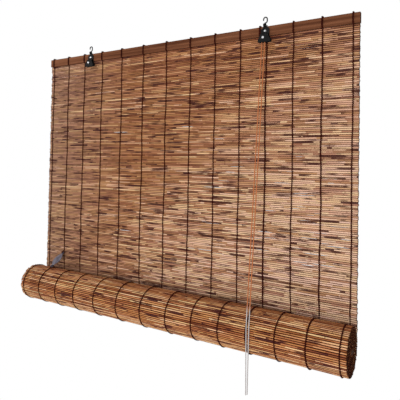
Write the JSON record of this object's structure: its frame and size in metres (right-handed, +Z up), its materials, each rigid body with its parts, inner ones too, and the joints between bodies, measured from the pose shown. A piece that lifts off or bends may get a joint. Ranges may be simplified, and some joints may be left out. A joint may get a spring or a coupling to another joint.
{
  "type": "reed roll up blind",
  "caption": "Window blind of woven reeds hung from a wooden rail on two hook hangers, its lower part rolled up in front, with a pull cord at the right and a steel roll clip.",
  "frame": {"origin": "midway between the two points where the hooks bear on their supports, under the tops of the hooks", "axes": "+X to the viewer's right along the rail, +Y away from the viewer towards the wall, +Z up"},
  "size_m": [1, 0.1117, 0.8792],
  "materials": {
    "mat_reed": "dry natural reed",
    "roll_reed": "dry natural reed",
    "rail_wood": "stained, grained",
    "thread": "twined dark thread",
    "black_steel": "satin black",
    "grey_steel": "dull grey",
    "bright_steel": "bright",
    "cord": "twisted cord"
  },
  "bodies": {
    "blind": {"head_rail": "rail_wood", "hanging_mat": "mat_reed", "warp_01": "thread", "warp_02": "thread", "warp_03": "thread", "warp_04": "thread", "warp_05": "thread", "warp_06": "thread", "warp_07": "thread", "warp_08": "thread", "warp_09": "thread", "warp_10": "thread", "warp_11": "thread", "warp_12": "thread", "warp_13": "thread", "warp_14": "thread", "hanger_plate_left": "black_steel", "hanger_plate_right": "black_steel", "hanger_cheek_left": "black_steel", "hanger_cheek_right": "black_steel", "hanger_hook_left": "black_steel", "hanger_hook_right": "black_steel", "pulley_axle_left": "bright_steel", "pulley_axle_right": "bright_steel", "hanger_screws": "bright_steel", "pull_cord_left": "cord", "pull_cord_right": "cord"},
    "roll": {"rolled_mat": "roll_reed", "bottom_rail": "rail_wood", "roll_warp_01": "thread", "roll_warp_02": "thread", "roll_warp_03": "thread", "roll_warp_04": "thread", "roll_warp_05": "thread", "roll_warp_06": "thread", "roll_warp_07": "thread", "roll_warp_08": "thread", "roll_warp_09": "thread", "roll_warp_10": "thread", "roll_warp_11": "thread", "roll_warp_12": "thread", "roll_warp_13": "thread", "roll_warp_14": "thread", "roll_clip": "grey_steel"},
    "pulley_left": {"pulley_left": "grey_steel"},
    "pulley_right": {"pulley_right": "grey_steel"}
  },
  "joints": [
    {"name": "roll_lift", "type": "slide", "parent": "blind", "child": "roll", "axis": [0, 0, 1], "range_m": [0, 0.5], "deforming": ["hanging_mat", "warp_01", "warp_02", "warp_03", "warp_04", "warp_05", "warp_06", "warp_07", "warp_08", "warp_09", "warp_10", "warp_11", "warp_12", "warp_13", "warp_14", "pull_cord_left", "pull_cord_right"]},
    {"name": "pulley_left_spin", "type": "hinge", "parent": "blind", "child": "pulley_left", "pos_m": [-0.29831, -0.0102, -0.04975], "axis": [0, 1, 0], "continuous": true},
    {"name": "pulley_right_spin", "type": "hinge", "parent": "blind", "child": "pulley_right", "pos_m": [0.29191, -0.0102, -0.04975], "axis": [0, 1, 0], "continuous": true}
  ]
}
